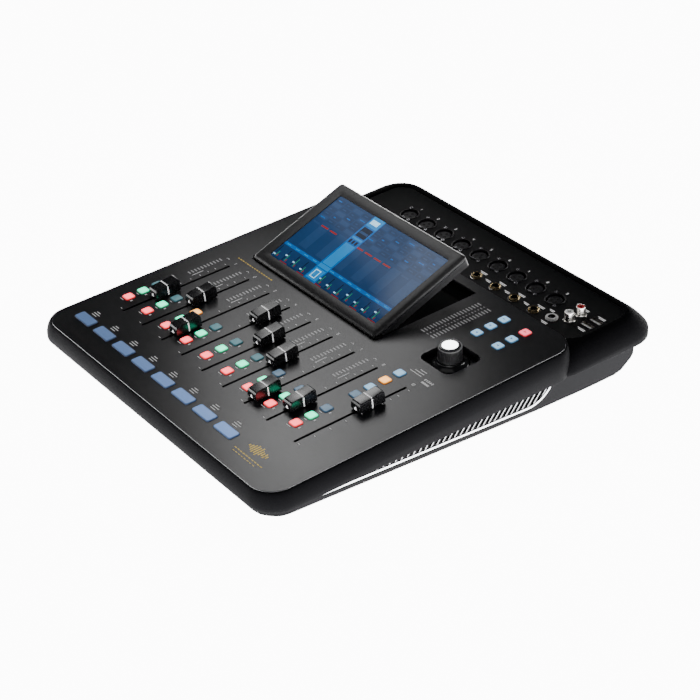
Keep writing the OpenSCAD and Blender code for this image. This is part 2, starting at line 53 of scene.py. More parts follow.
# ---- driving sizes, the same as the CAD's ----
COVER_HALF = 175.5
COVER_FRONT, COVER_REAR = -32, 386
LCD_W, LCD_H = 154.2, 87.3
POD_LEFT, POD_RIGHT, POD_TOP = 14, 9.5, 12.5
POD_X, POD_W = 27.4 - POD_LEFT, LCD_W + POD_LEFT + POD_RIGHT
POD_V0, POD_V1 = -3.5, 7 + LCD_H + POD_TOP
SCREEN = DECK @ Matrix.Translation((POD_X, 172.4, -0.9)) @ Matrix.Rotation(radians(19.8), 4, "X")
CHANNELS = 8
PITCH = 31
SLOT_X = [i * PITCH + 9.65 for i in range(CHANNELS)] + [264.5]
CAP_Y = [75.4, 93.4, 56.6, 118.5, 100.6, 92, 52.1, 65.1, 105.2]
FADERS = ["fader_%d" % i for i in range(1, 9)] + ["fader_master"]
SOFT_W, SOFT_D = 24, 11
KEY, KEY_PITCH = 9.5, 15.15
MASTER_KEY_X = 245.3
KEY_X = [i * PITCH - 6.7 for i in range(CHANNELS)] + [MASTER_KEY_X]
STRIP_Y, MIX_Y, NAV_Y = 47.6, 107.2, 239.2
NAV_X = (241.5, 268.3)
BAY = -8
XLR_COUNT, XLR_X, XLR_PITCH, XLR_Y = 9, 34.5, 25.28, 332.7
JACKS = ((161.5, 307), (186.8, 307), (212, 307), (237.3, 307))
PHONES = (256.8, 310)
RCA = ((269, 319), (269.5, 332))
USB = ((285.5, 324.7), (286, 334.5))

# the faces of a block whose corners are listed as two rings of four
BOX_FACES = [(0, 1, 2, 3), (7, 6, 5, 4), (4, 5, 1, 0), (5, 6, 2, 1), (6, 7, 3, 2), (7, 4, 0, 3)]


# ---- materials ----
def material(name, color, rough, metal=0.0, grain=400.0, bump=0.08, vary=0.15, rough_vary=0.12, coat=0.0,
             stretch=(1, 1, 1), emit=None, emit_strength=0.0, spec=0.5, blotch=18.0, rim_color=None):
    """A procedural surface: mottled colour and roughness, fine bumps, and a glow where emit_strength is set."""
    m = bpy.data.materials.new(name)
    m.use_nodes = True
    nt = m.node_tree
    n, l = nt.nodes, nt.links
    p = n["Principled BSDF"]
    p.inputs["Metallic"].default_value = metal
    p.inputs["Coat Weight"].default_value = coat
    p.inputs["Specular IOR Level"].default_value = spec
    tc = n.new("ShaderNodeTexCoord")
    mp = n.new("ShaderNodeMapping")
    mp.inputs["Scale"].default_value = stretch
    l.new(tc.outputs["Object"], mp.inputs["Vector"])
    fine = n.new("ShaderNodeTexNoise")
    fine.inputs["Scale"].default_value = grain
    fine.inputs["Detail"].default_value = 4
    l.new(mp.outputs["Vector"], fine.inputs["Vector"])
    big = n.new("ShaderNodeTexNoise")
    big.inputs["Scale"].default_value = blotch
    big.inputs["Detail"].default_value = 3
    l.new(tc.outputs["Object"], big.inputs["Vector"])
    both = n.new("ShaderNodeMath")
    both.operation = "ADD"
    l.new(fine.outputs["Fac"], both.inputs[0])
    l.new(big.outputs["Fac"], both.inputs[1])
    ramp = n.new("ShaderNodeValToRGB")
    ramp.color_ramp.elements[0].position = 0.35
    ramp.color_ramp.elements[1].position = 0.75
    half = n.new("ShaderNodeMath")
    half.operation = "MULTIPLY"
    half.inputs[1].default_value = 0.5
    l.new(both.outputs[0], half.inputs[0])
    l.new(half.outputs[0], ramp.inputs["Fac"])
    lo = [max(0, c * (1 - vary)) for c in color] + [1]
    hi = [min(1, c * (1 + vary)) for c in color] + [1]
    ramp.color_ramp.elements[0].color = lo
    ramp.color_ramp.elements[1].color = hi
    out = ramp.outputs["Color"]
    if rim_color:
        # colour shifts from the face to the rim of a piece along its "rim" attribute
        at = n.new("ShaderNodeAttribute")
        at.attribute_name = "rim"
        mix = n.new("ShaderNodeMix")
        mix.data_type = "RGBA"
        l.new(at.outputs["Fac"], mix.inputs["Factor"])
        l.new(out, mix.inputs["A"])
        mix.inputs["B"].default_value = (*rim_color, 1)
        out = mix.outputs["Result"]
    l.new(out, p.inputs["Base Color"])
    rr = n.new("ShaderNodeMapRange")
    rr.inputs["To Min"].default_value = max(0.02, rough - rough_vary / 2)
    rr.inputs["To Max"].default_value = min(1, rough + rough_vary / 2)
    rr.inputs["From Min"].default_value = 0.3
    rr.inputs["From Max"].default_value = 0.7
    l.new(half.outputs[0], rr.inputs["Value"])
    l.new(rr.outputs["Result"], p.inputs["Roughness"])
    b = n.new("ShaderNodeBump")
    b.inputs["Strength"].default_value = bump
    b.inputs["Distance"].default_value = 0.0002
    l.new(fine.outputs["Fac"], b.inputs["Height"])
    l.new(b.outputs["Normal"], p.inputs["Normal"])
    if emit_strength:
        if rim_color:
            l.new(out, p.inputs["Emission Color"])
        else:
            p.inputs["Emission Color"].default_value = (*emit, 1)
        p.inputs["Emission Strength"].default_value = emit_strength
    return m


M = {
    "cover": material("cover_black", (0.0025, 0.0025, 0.003), 0.7, grain=900, bump=0.10, vary=0.25, spec=0.02),
    "deck": material("deck_charcoal", (0.009, 0.009, 0.0105), 0.30, grain=1400, bump=0.12, vary=0.22,
                     rough_vary=0.06, spec=0.42),
    # lighter grey for painted highlights along the deck's edge and the encoder well's rim
    "deck_edge_highlight": material("deck_edge_highlight", (0.05, 0.05, 0.055), 0.22, grain=700, bump=0.04),
    "well": material("well_black", (0.002, 0.002, 0.002), 0.6, grain=800, bump=0.1, spec=0.05),
    "bay": material("bay_black", (0.004, 0.004, 0.0045), 0.5, grain=1000, bump=0.08, spec=0.12),
    "base": material("base_paint", (0.0075, 0.0075, 0.0082), 0.6, grain=1600, bump=0.10, vary=0.2, spec=0.015),
    "trim": material("trim_aluminium", (0.62, 0.62, 0.64), 0.25, metal=1, grain=300, bump=0.15,
                     stretch=(1, 0.05, 1)),
    # bright metal for the painted highlights on the cooling slots' rear edges
    "vent": material("vent_highlight_metal", (0.30, 0.30, 0.31), 0.3, metal=0.8, grain=500, bump=0.05),
    "rubber": material("foot_rubber", (0.02, 0.02, 0.02), 0.8, grain=900, bump=0.3),
    "socket": material("socket_black", (0.009, 0.009, 0.010), 0.33, grain=700, bump=0.05),
    "nickel": material("nickel", (0.72, 0.70, 0.66), 0.18, metal=1, grain=500, bump=0.04),
    "brass": material("brass", (0.72, 0.56, 0.30), 0.2, metal=1, grain=500, bump=0.04),
    "steel": material("steel", (0.66, 0.66, 0.68), 0.25, metal=1, grain=400, bump=0.08),
    "board": material("board_green", (0.02, 0.12, 0.06), 0.4, grain=250, bump=0.1),
    "bezel": material("bezel_grey", (0.018, 0.018, 0.0185), 0.42, metal=0.3, grain=1800, bump=0.10, vary=0.12,
                      spec=0.3),
    "pod": material("pod_back", (0.006, 0.006, 0.007), 0.4, grain=900, bump=0.1),
    "knob": material("knob_black", (0.010, 0.010, 0.011), 0.3, grain=600, bump=0.06),
    "gloss": material("knob_gloss", (0.012, 0.012, 0.013), 0.12, grain=300, bump=0.02, coat=0.5),
    # the encoder's white top; its strong glow is painted light that makes it as bright as a lit white surface
    "white": material("cap_white", (0.85, 0.85, 0.86), 0.25, grain=500, bump=0.02, vary=0.03, emit=(1, 1, 1),
                      emit_strength=7),
    "cap": material("fader_black", (0.008, 0.008, 0.009), 0.22, grain=900, bump=0.015, vary=0.1,
                    rough_vary=0.05),
    # white print, also the fader caps' painted highlights; its glow is painted light that keeps them bright
    # where little light falls
    "line": material("print_white_and_cap_highlights", (0.80, 0.80, 0.80), 0.5, grain=900, bump=0.02, vary=0.05, emit=(1, 1, 1),
                     emit_strength=0.5),
    # grey deck print; its glow is painted light that keeps it light grey where little light falls
    "print": material("print_grey_painted_glow", (0.36, 0.36, 0.37), 0.55, grain=900, bump=0.02, vary=0.15, emit=(1, 1, 1),
                      emit_strength=0.34),
    # meter windows; their faint glow is painted light that keeps them visible where little light falls
    "meter": material("meter_window_painted_glow", (0.22, 0.22, 0.23), 0.35, grain=900, bump=0.02, vary=0.15, emit=(1, 1, 1),
                      emit_strength=0.16),
    # gold print; its glow is painted light that keeps it bright where little light falls
    "gold": material("print_gold_painted_glow", (0.42, 0.30, 0.05), 0.4, metal=0.4, grain=900, bump=0.03, vary=0.1,
                     emit=(0.5, 0.32, 0.03), emit_strength=0.45),
    "slot": material("slot_black", (0.004, 0.004, 0.004), 0.7, grain=600, bump=0.05),
    "red_ring": material("socket_red", (0.55, 0.03, 0.03), 0.35, grain=500, bump=0.04),
    "white_ring": material("socket_white", (0.8, 0.8, 0.78), 0.4, grain=500, bump=0.04),
}


def key_material(name, face, rim, glow):
    """A backlit key: its face glows and darkens towards the rim."""
    return material(name, face, 0.45, grain=500, bump=0.04, vary=0.06, rim_color=rim, emit=face,
                    emit_strength=glow)


M.update({
    "k_red": key_material("key_red", (0.95, 0.09, 0.11), (0.16, 0.002, 0.003), 4.5),
    "k_mint": key_material("key_mint", (0.012, 0.90, 0.48), (0.0, 0.10, 0.04), 3.6),
    "k_teal": key_material("key_teal", (0.07, 0.18, 0.21), (0.004, 0.04, 0.05), 1.1),
    "k_pale": key_material("key_pale", (0.24, 0.44, 0.62), (0.012, 0.05, 0.10), 1.7),
    "k_blue": key_material("key_blue", (0.15, 0.24, 0.34), (0.01, 0.04, 0.08), 0.8),
    "k_orange": key_material("key_orange", (0.95, 0.42, 0.10), (0.16, 0.05, 0.002), 3.2),
    "k_pink": key_material("key_pink", (0.90, 0.13, 0.18), (0.16, 0.003, 0.006), 2.6),
})


# ---- mesh helpers ----
def put(name, verts, faces, body, mats, frame_matrix=DECK, smooth=True, face_mats=None, rim=None, hide=(),
        sharp=38):
    """Make one piece from millimetre points, fix it to a body and hide the CAD nodes that it stands for."""
    me = bpy.data.meshes.new(name)
    me.from_pydata([frame_matrix @ Vector(v) for v in verts], [], faces)
    for mt in mats:
        me.materials.append(mt)
    if face_mats:
        me.polygons.foreach_set("material_index", face_mats)
    me.polygons.foreach_set("use_smooth", [smooth] * len(me.polygons))
    if rim:
        at = me.attributes.new("rim", "FLOAT", "POINT")
        at.data.foreach_set("value", rim)
    me.validate()
    me.update()
    ob = bpy.data.objects.new(name, me)
    bpy.context.scene.collection.objects.link(ob)
    if smooth:
        me.set_sharp_from_angle(angle=radians(sharp))
    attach(ob, body)
    if hide:
        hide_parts(*hide)
    return ob


def rect_ring(x0, x1, y0, y1, r, n=7):
    """Points of a rectangle with round corners, anticlockwise."""
    pts = []
    corners = ((x1 - r, y0 + r, -90), (x1 - r, y1 - r, 0), (x0 + r, y1 - r, 90), (x0 + r, y0 + r, 180))
    for cx, cy, a0 in corners:
        for k in range(n):
            a = radians(a0 + 90 * k / (n - 1))
            pts.append((cx + r * cos(a), cy + r * sin(a)))
    return pts


def bridge(rings, closed=False, cap=False):
    """Join equal rings of points; closed joins the last back to the first, cap fills both ends."""
    n = len(rings[0])
    verts = [p for ring in rings for p in ring]
    faces = []
    count = len(rings)
    for i in range(count if closed else count - 1):
        a, b = i * n, ((i + 1) % count) * n
        for k in range(n):
            faces.append((a + k, a + (k + 1) % n, b + (k + 1) % n, b + k))
    if cap:
        faces.append(tuple(reversed(range(n))))
        faces.append(tuple(range((count - 1) * n, count * n)))
    return verts, faces


class Batch:
    """Collects many small closed shapes into one mesh, each with its own material index."""

    def __init__(self):
        self.v, self.f, self.m = [], [], []

    def add(self, verts, faces, mat=0):
        o = len(self.v)
        self.v += verts
        self.f += [tuple(i + o for i in f) for f in faces]
        self.m += [mat] * len(faces)

    def bar(self, x, y, w, h, z0=0.0, z1=0.05, mat=0, turn=0.0):
        """A thin upright block centred on [x, y], turned about its middle by turn radians."""
        c, s = cos(turn), sin(turn)
        pts = [(x + dx * c - dy * s, y + dx * s + dy * c) for dx, dy in
               ((-w / 2, -h / 2), (w / 2, -h / 2), (w / 2, h / 2), (-w / 2, h / 2))]
        self.add([(px, py, z) for z in (z0, z1) for px, py in pts],
                 [(3, 2, 1, 0), (4, 5, 6, 7), (0, 1, 5, 4), (1, 2, 6, 5), (2, 3, 7, 6), (3, 0, 4, 7)], mat)

    def lathe(self, x, y, z, profile, seg=32, mat=0, closed=False, ribs=0, rib_depth=0.0, rib_rows=()):
        """A turned shape about an upright axis; profile is [radius, height] from bottom to top."""
        rings = []
        for j, (r, h) in enumerate(profile):
            ring = []
            for k in range(seg):
                a = 2 * pi * k / seg
                rr = r - (rib_depth * (0.5 + 0.5 * cos(a * ribs)) if j in rib_rows else 0)
                ring.append((x + rr * cos(a), y + rr * sin(a), z + h))
            rings.append(ring)
        self.add(*bridge(rings, closed=closed, cap=not closed), mat)

    def put(self, name, body, mats, **kw):
        return put(name, self.v, self.f, body, mats, face_mats=self.m, **kw)


# the strokes of each digit: a, g and d from top to bottom, b and c at the right, f and e at the left
DIGITS = {"0": "abcdef", "1": "bc", "2": "abged", "3": "abgcd", "4": "fgbc", "5": "afgcd", "6": "afgedc",
          "7": "abc", "8": "abcdefg", "9": "abcdfg"}


def number(batch, text, x, y, h, z0=0.0, z1=0.05):
    """Small scale numbers drawn as seven strokes."""
    w, t = h * 0.55, h * 0.16
    for i, ch in enumerate(text):
        cx = x + (i - (len(text) - 1) / 2) * (w + t * 2)
        for s in DIGITS[ch]:
            if s in "adg":
                batch.bar(cx, y + {"a": h / 2, "g": 0, "d": -h / 2}[s], w, t, z0, z1)
            else:
                dx = w / 2 if s in "bc" else -w / 2
                dy = h / 4 if s in "bf" else -h / 4
                batch.bar(cx + dx, y + dy, t, h / 2, z0, z1)


def lip(y):
    """Height of the cover's lower lip, which drops a little towards the rear."""
    return -16.9 - 0.0305 * y


# ---- housing ----
def block_ring(inset, z, from_lip):
    """A section of the cover's raised front block; from_lip measures z from the lip."""
    pts = rect_ring(MID_X - COVER_HALF + inset, MID_X + COVER_HALF - inset, COVER_FRONT + inset,
                    291.4 - inset * 0.15, max(26 - inset, 18), 10)
    return [(x, y, lip(y) + z if from_lip else z) for x, y in pts]


BLOCK_LIP = ((2.4, 9), (2.2, 0.05), (0.6, 0.05), (0.05, 0.8))
BLOCK_SIDE = ((0, -12.5), (0.35, -9.5), (1.1, -6.8), (2.1, -4.4), (3.2, -2.4), (4.3, -1.1), (5.2, -0.5),
              (6.05, -0.4), (6.05, -3.2))
block = [block_ring(*row, True) for row in BLOCK_LIP] + [block_ring(*row, False) for row in BLOCK_SIDE]
put("cover_upper", *bridge(block, closed=True), "chassis", [M["cover"]])


def skirt_ring(half, rear, z, r, front, from_lip=False):
    """A section of the lower rear part of the cover, round the socket bay."""
    pts = rect_ring(MID_X - half, MID_X + half, front, rear, r, 10)
    return [(x, y, lip(y) + z if from_lip else z) for x, y in pts]


SKIRT_LIP = ((173.2, 383.6, 4, 28, 262), (173.2, 383.6, 0.05, 28, 262), (174.9, 385.4, 0.05, 30, 258),
             (COVER_HALF, COVER_REAR, 0.9, 30, 258))
SKIRT = ((COVER_HALF, COVER_REAR, -22.2, 30, 258), (175.3, 385.4, -20.9, 30, 258.5),
         (174.2, 383, -17.6, 29.5, 260),
         (172.6, 380.2, -14.4, 29, 263), (169.8, 377.4, -11.2, 27.5, 268), (166.6, 374.4, -8.6, 25.5, 274),
         (163.8, 372.4, -7.1, 23, 281), (161, 370.6, -6.3, 21, 288), (158.4, 368.6, -6.05, 19, 291.8),
         (157, 367.4, -6.05, 17.6, 293), (156.3, 366.4, -6.5, 16.4, 293.8), (156, 366, -7.95, 16, 294),
         (156, 366, -9.6, 16, 294))
skirt = [skirt_ring(*row, from_lip=True) for row in SKIRT_LIP] + [skirt_ring(*row) for row in SKIRT]
put("cover_lower", *bridge(skirt), "chassis", [M["cover"]], hide=["top_cover"])

# a fine bead round the deck plate, painted lighter grey than the deck as a highlight along its edge
edge = []
for inset, z in ((6.3, -0.15), (6.1, 0.02), (5.85, -0.05), (5.75, -0.35), (6.0, -0.5), (6.3, -0.5)):
    pts = rect_ring(MID_X - COVER_HALF + inset, MID_X + COVER_HALF - inset, COVER_FRONT + inset - 0.4, 290.7,
                    22, 12)
    edge.append([(x, y, z) for x, y in pts])
put("deck_edge_highlight", *bridge(edge, closed=True), "chassis", [M["deck_edge_highlight"]])

# the CAD nodes that stay visible
PAINT = {"deck_plate": "deck", "connector_plate": "bay", "screen_well": "well", "base_tray": "base",
         "side_trims": "trim", "rubber_feet": "rubber", "fader_tracks": "slot", "main_board": "board",
         "power_supply": "steel", "power_inlet": "socket", "network_port": "nickel", "usb_ports": "nickel",
         "power_rocker": "socket", "screen_back": "pod", "panel_screws": "steel"}
for node, mat in PAINT.items():
    NODES[node].data.materials.clear()
    NODES[node].data.materials.append(M[mat])

# painted highlights: bright strips on the cooling slots' rear edges, where the light catches them
VENTS, VENT_Y, VENT_PITCH = 36, 33, 6.1
VENT_LEAN = radians(36)
VENT_FOOT = 14.8
VENT_HALF = 2.4
WALL_X, WALL_OUT = 171.3, 171.62
vent_highlight_batch = Batch()
for side in (-1, 1):
    for i in range(VENTS):
        along = VENT_Y + i * VENT_PITCH
        reach = max(4, i * 0.52 + 2)
        # the slot's rear wall, clipped where the cover's lip hides it
        top = ORIGIN_Z + along * sin(SLOPE) + lip(along) * cos(SLOPE) + 1
        run = max(1.2, min(reach * cos(VENT_LEAN), top - 15.2))
        back = run * sin(VENT_LEAN) / cos(VENT_LEAN)
        ya = ORIGIN_Y + along * cos(SLOPE) + VENT_HALF * cos(VENT_LEAN) + 0.15
        za = VENT_FOOT - VENT_HALF * sin(VENT_LEAN)
        pts = [(ya, za), (ya + 0.75, za - 0.3), (ya + 0.75 + back, za + run - 0.3), (ya + back, za + run)]
        vent_highlight_batch.add([(x, y, z) for x in (side * WALL_X, side * WALL_OUT) for y, z in pts], BOX_FACES)
vent_highlight_batch.put("vent_highlight_strips", "chassis", [M["vent"]], frame_matrix=PART, smooth=False)


# ---- keys ----
def key(name, x, y, w, h, body, mat, crown=0.28, hide=()):
    """A soft key: a crowned face rolling over to a dark rim and straight sides down into the deck."""
    top = 1.0
    foot = -6.9
    # inset, height, and how far towards the rim's colour
    rows = [(0.15, foot, 1.0), (0.0, -6.6, 1.0), (0.0, 0.35, 1.0), (0.12, top * 0.72, 0.95),
            (0.42, top * 0.93, 0.7), (0.85, top, 0.25), (1.35, top + crown * 0.25, 0.06),
            (2.2, top + crown * 0.55, 0.0), (3.2, top + crown * 0.8, 0.0)]
    rings, rim = [], []
    for inset, z, e in rows:
        r = max(2.2 - inset * 0.55, 0.35)
        pts = rect_ring(x - w / 2 + inset, x + w / 2 - inset, y - h / 2 + inset, y + h / 2 - inset, r, 6)
        rings.append([(px, py, z) for px, py in pts])
        rim += [e] * len(pts)
    verts, faces = bridge(rings)
    n = len(rings[0])
    o = len(verts)
    verts += [(x, y, top + crown * 0.85), (x, y, foot)]
    rim += [0.0, 1.0]
    last = o - n
    faces += [(last + k, last + (k + 1) % n, o) for k in range(n)]
    faces += [((k + 1) % n, k, o + 1) for k in range(n)]
    return put(name, verts, faces, body, [mat], rim=rim, hide=hide)


def gap_shade_ring(batch, x, y, w, h, grow=0.3):
    """Painted shade for the narrow gap round a key, as a sunk ring."""
    rings = []
    for g, z in ((grow, -0.02), (grow, 0.03), (0.02, 0.03), (0.02, -0.02)):
        rings.append([(px, py, z) for px, py in
                      rect_ring(x - w / 2 - g, x + w / 2 + g, y - h / 2 - g, y + h / 2 + g, 2.0 + g, 6)])
    batch.add(*bridge(rings, closed=True))


# painted light: the soft keys' glow rises towards the master section, standing in for the light falling more
# brightly there
SLATE_PAINTED_FALLOFF = [key_material("key_slate_%d" % (i + 1), (0.10, 0.18, 0.38), (0.016, 0.03, 0.07),
                      0.55 + 0.1 * i + 0.012 * i ** 2) for i in range(CHANNELS)]
gap_shades = Batch()
for i in range(CHANNELS):
    n = "soft_key_%d" % (i + 1)
    key(n + "_pad", i * PITCH, 0, SOFT_W, SOFT_D, n + "_cap", SLATE_PAINTED_FALLOFF[i], crown=0.1, hide=[n])
    gap_shade_ring(gap_shades, i * PITCH, 0, SOFT_W, SOFT_D)
for i, x in enumerate(KEY_X):
    n = "strip_keys_%d" % (i + 1)
    third = "k_orange" if i == 2 else ("k_blue" if i > 5 else "k_teal")
    for k, tone in enumerate(("k_red", "k_mint", third)):
        y = STRIP_Y + KEY_PITCH * k
        key("%s_%s" % (n, "abc"[k]), x, y, KEY, KEY, n + "_cap", M[tone], hide=[n] if k == 0 else ())
        gap_shade_ring(gap_shades, x, y, KEY, KEY)
for k, tone in enumerate(("k_blue", "k_pale", "k_orange", "k_pale")):
    n = "mix_key_%d" % (k + 1)
    y = MIX_Y + KEY_PITCH * k
    key(n + "_pad", MASTER_KEY_X, y, KEY, KEY, n + "_cap", M[tone], hide=[n])
    gap_shade_ring(gap_shades, MASTER_KEY_X, y, KEY, KEY)
for k in range(6):
    n = "nav_key_%d" % (k + 1)
    x, y = NAV_X[k // 3], NAV_Y + KEY_PITCH * (k % 3)
    key(n + "_pad", x, y, KEY, KEY, n + "_cap", M["k_pink" if k == 5 else "k_pale"], hide=[n])
    gap_shade_ring(gap_shades, x, y, KEY, KEY)
    icon = Batch()
    for j in range(3):
        icon.bar(x - 0.9 + 0.9 * j, y - 0.2 * j, 0.5, 1.0 + 0.8 * ((j + k) % 3), 1.2, 1.27)
    icon.put(n + "_icon", n + "_cap", [M["slot"]], smooth=False)
gap_shades.put("key_gap_shades", "chassis", [M["slot"]])


# ---- faders ----
def fader_cap(name, x, y, node, body):
    """A low fader cap: tapering sides and a slightly dished top that rises to the rear."""
    # the side view, front to rear
    side = [(-12.4, 0.3), (-12.6, 2.0), (-12.4, 6.2), (-11.6, 7.6), (-10.6, 8.3), (-6, 8.9), (-1.2, 9.35),
            (0, 9.4), (1.2, 9.5), (5, 9.9), (9, 10.5), (11.2, 10.8), (12.3, 10.4), (12.75, 9.6), (12.9, 5),
            (12.9, 0.3)]
    rings = []
    for f, drop in ((1.0, 0.55), (0.93, 0.12), (0.7, 0.0), (-0.7, 0.0), (-0.93, 0.12), (-1.0, 0.55)):
        ring = []
        for v, z in side:
            half = 6.25 - 1.2 * max(0.0, (z - 3) / 11)
            ring.append((x + f * half, y + v * (1 - 0.01 * drop), 1 + max(0.2, z - (drop if z > 2 else 0))))
        rings.append(ring)
    put(name, *bridge(rings, cap=True), body, [M["cap"]], hide=[node], sharp=16)
    b = Batch()
    # painted highlights: a white line over the dish and down both sides, where the cap's edges catch the light
    half = 6.25 - 1.2 * 0.58
    path = [(-6.35, 1.4), (-6.3, 4.2), (-half - 0.08, 9.4), (-half + 0.5, 10.48)]
    inner = [(-6.1, 1.4), (-6.05, 4.2), (-half + 0.2, 9.3), (-half + 0.6, 10.2)]
    path += [(-u, w) for u, w in reversed(path)]
    inner += [(-u, w) for u, w in reversed(inner)]
    for j in range(len(path) - 1):
        q = [path[j], path[j + 1], inner[j + 1], inner[j]]
        b.add([(x + u, y + s, w) for s in (-0.55, 0.55) for u, w in q], BOX_FACES)
    # a painted highlight: a white triangle on the cap's front end
    nose = [(-1.7, 2.4), (1.7, 2.4), (0, 5.2)]
    b.add([(x + u, y + v, w) for v in (-12.85, -12.3) for u, w in nose],
          [(0, 1, 2), (5, 4, 3), (0, 3, 4, 1), (1, 4, 5, 2), (2, 5, 3, 0)])
    b.put(name + "_painted_highlights", body, [M["line"]], smooth=False)
    s = Batch()
    s.bar(x, y, 1.2, 8, -10.5, 1.3)
    s.put(name + "_stem", body, [M["steel"]], smooth=False)


for i, f in enumerate(FADERS):
    fader_cap(f + "_body", SLOT_X[i], CAP_Y[i], f, f + "_cap")

# ---- printing on the deck ----
marks = Batch()
SCALE_Y, SCALE_LEN = 33, 110
STOPS = (0, 0.14, 0.28, 0.42, 0.56, 0.66, 0.75, 0.83, 0.9, 1.0)
for i, x in enumerate(SLOT_X):
    master = i == CHANNELS
    for j, t in enumerate(STOPS):
        y = SCALE_Y + SCALE_LEN * t
        # a channel's key strip takes the place of its middle marks
        if master or y > 92 or y < 40:
            marks.bar(x + (4.9 if master else -4.9), y, 1.7 if j % 2 else 2.3, 0.55)
    if master:
        number(marks, "10", x, 151, 2.6)
    else:
        number(marks, str(i + 1), x, 150.5, 2.6)
for i in range(CHANNELS):
    for j, wdt in enumerate((9, 12, 7)):
        marks.bar(i * PITCH - 3 + wdt * 0.18, 8.8 + j * 2.5, wdt * 0.75, 0.8)
for x in KEY_X:
    for k in range(3):
        marks.bar(x + 6.9, 46 + KEY_PITCH * k, 1.3, 2.2)
        marks.bar(x + (0.6 if k else -1.5), 41.2 + KEY_PITCH * k, 3.4 if k else 5.2, 0.6)
for i in range(CHANNELS):
    # a small arc over each meter and a line of print beside it
    x = i * PITCH - 5.1
    for j in range(5):
        a = radians(30 + 30 * j)
        marks.bar(x + 3.4 + 1.7 * cos(a), 149.5 + 1.7 * sin(a), 0.9, 0.45, turn=a + pi / 2)
    marks.bar(x + 5.4, 116, 0.7, 12)
for j in range(3):
    marks.bar(253.5 + j * 1.4, 163 + j * 3.1, 14 - 3 * j, 0.8)
marks.bar(271, 158.5, 9, 1.9)
for j in range(5):
    marks.bar(266.6 + j * 2.2, 162.6, 1.2, 2.6 - 0.8 * (j % 2))
marks.put("deck_print", "chassis", [M["print"]], smooth=False)

gold = Batch()
for j in range(15):
    gold.bar(4 + j * 3.6, 158.6, 2.6 if j % 3 else 1.6, 1.0)
for j, h in enumerate((2.2, 4.6, 7.6, 10.2, 8.2, 11.0, 6.6, 4.4, 6.0, 3.0)):
    gold.bar(245 + j * 2.5, 3.5, 1.2, h)
for j in range(10):
    gold.bar(240 + j * 3.8, -6.8, 2.6, 0.8)
for j in range(8):
    gold.bar(242 + j * 3.8, -10.2, 2.4, 0.6)
gold.put("gold_print", "chassis", [M["gold"]], smooth=False)

# ---- meters ----
meters = Batch()
for i in range(CHANNELS):
    for k in range(11):
        meters.bar(i * PITCH - 5.1, 110.5 + 3.4 * k, 4.4, 1.25, 0, 0.12)
# the master pair, with its scale between the two
for k in range(20):
    y = 207.4 + 3.3 * k
    for x in (208.3, 221.0):
        meters.bar(x, y, 5.0, 1.1, 0, 0.12)
    meters.bar(214.6, y, 1.7 if k % 3 else 2.6, 0.8, 0, 0.06)
meters.put("meter_bars", "chassis", [M["meter"]], smooth=False, hide=["meter_lights"])

# ---- encoder ----
EX, EY, EZ = 255, 198.6, -7.5
WELL_HALF = 19.5
knob = Batch()
knob.lathe(EX, EY, EZ, [(16.2, 0.0), (16.5, 0.4), (16.5, 1.7), (16.1, 2.5), (15.0, 3.3), (13.2, 4.0),
                        (11.8, 4.7), (11.1, 5.8), (10.8, 7.4)], seg=96)
knob.lathe(EX, EY, EZ, [(3.0, -6.5), (3.0, 0.2)], seg=24)
knob.put("encoder_skirt", "encoder", [M["gloss"]])
grip = Batch()
grip.lathe(EX, EY, EZ, [(10.9, 6.4), (10.75, 7.2), (10.6, 8.2), (10.4, 17.4), (10.3, 18.6), (9.9, 19.6),
                        (9.2, 20.2), (8.2, 20.45), (7.1, 20.4), (6.9, 19.8)],
           seg=144, ribs=36, rib_depth=0.28, rib_rows=(2, 3))
grip.put("encoder_grip", "encoder", [M["knob"]], hide=["encoder_knob"])
# the white top, whose glow is painted light
button = Batch()
button.lathe(EX, EY, EZ, [(6.75, 19.5), (6.75, 20.2), (6.4, 20.5), (5.2, 20.65), (3.0, 20.7), (0.6, 20.7)],
             seg=48)
button.put("encoder_top", "encoder", [M["white"]], hide=["encoder_cap"])
# the encoder well's rim, painted lighter grey as a highlight along its edge
well_edge = []
for g, z in ((0.0, -1.2), (0.02, -0.25), (0.25, 0.04), (0.6, 0.02), (0.6, -0.05)):
    reach = WELL_HALF + g
    well_edge.append([(x, y, z) for x, y in
                      rect_ring(EX - reach, EX + reach, EY - reach, EY + reach, 7 + g, 8)])
put("encoder_well_edge", *bridge(well_edge), "chassis", [M["deck_edge_highlight"]])

# ---- screen ----
def screen_ring(x0, x1, y0, y1, r, z):
    """A section of the screen, in its own frame."""
    return [(x, y, z) for x, y in rect_ring(x0, x1, y0, y1, r, 7)]


L0, L1, B0, B1 = POD_LEFT, POD_LEFT + LCD_W, 7, 7 + LCD_H
BEVEL = ((0.6, 1.6), (0, 2.0), (0, 4.4), (0.35, 4.85), (0.9, 5.4), (1.5, 5.95), (2.1, 6.35), (2.9, 6.58))
bezel = [screen_ring(s, POD_W - s, POD_V0 + s, POD_V1 - s, max(3.4 - s * 0.5, 2.4), z) for s, z in BEVEL]
bezel += [screen_ring(L0 - 0.7, L1 + 0.7, B0 - 0.7, B1 + 0.7, 2.6, 6.5),
          screen_ring(L0 - 0.2, L1 + 0.2, B0 - 0.2, B1 + 0.2, 2.2, 6.3),
          screen_ring(L0, L1, B0, B1, 2.0, 5.5), screen_ring(L0, L1, B0, B1, 2.0, 3.9)]
put("screen_frame", *bridge(bezel), "screen", [M["bezel"]], frame_matrix=SCREEN, hide=["screen_bezel"])

